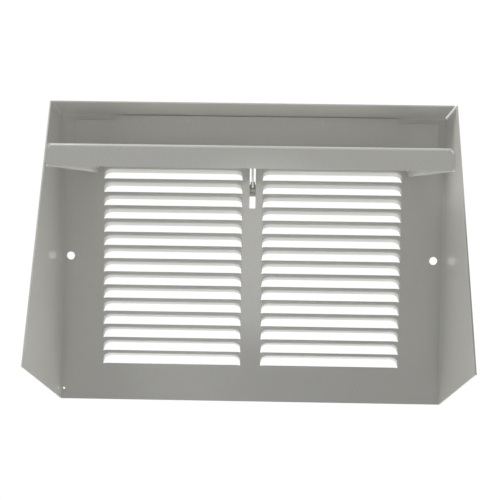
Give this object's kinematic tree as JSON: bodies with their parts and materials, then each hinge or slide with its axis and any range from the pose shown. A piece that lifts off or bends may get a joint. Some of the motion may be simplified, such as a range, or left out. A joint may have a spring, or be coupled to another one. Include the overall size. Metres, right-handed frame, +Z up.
{
  "type": "baseboard register",
  "caption": "Sheet metal baseboard register with louvred leaning face, open back and a lever-worked pan damper hinged behind the louvres.",
  "frame": {"origin": "on the floor, at the centre of the part's plan box, with the damper open as at rest", "axes": "+X to the right seen from the room, +Y back through the wall plane into the duct, +Z up; the louvred face looks to -Y and leans back 22.5 degrees"},
  "size_m": [0.2448, 0.185, 0.1694],
  "materials": {
    "enamel": "warm light grey baked enamel, semi-gloss",
    "zinc": "zinc plated, dull",
    "knob": "moulded, satin"
  },
  "bodies": {
    "frame": {"louvred_face": "enamel", "side_wall_left": "enamel", "side_wall_right": "enamel", "top_wall": "enamel", "hinge_plate": "enamel", "pivot_rivet_left": "zinc", "pivot_rivet_right": "zinc", "spring_washer_left": "zinc", "spring_washer_right": "zinc"},
    "damper": {"damper_blade": "enamel", "lever_arm": "enamel", "lever_rivets": "zinc", "lever_knob": "knob"}
  },
  "joints": [
    {"name": "damper_hinge", "type": "hinge", "parent": "frame", "child": "damper", "pos_m": [0, -0.02811, 0.13652], "axis": [-1, 0, 0], "range_deg": [0, 90]}
  ]
}
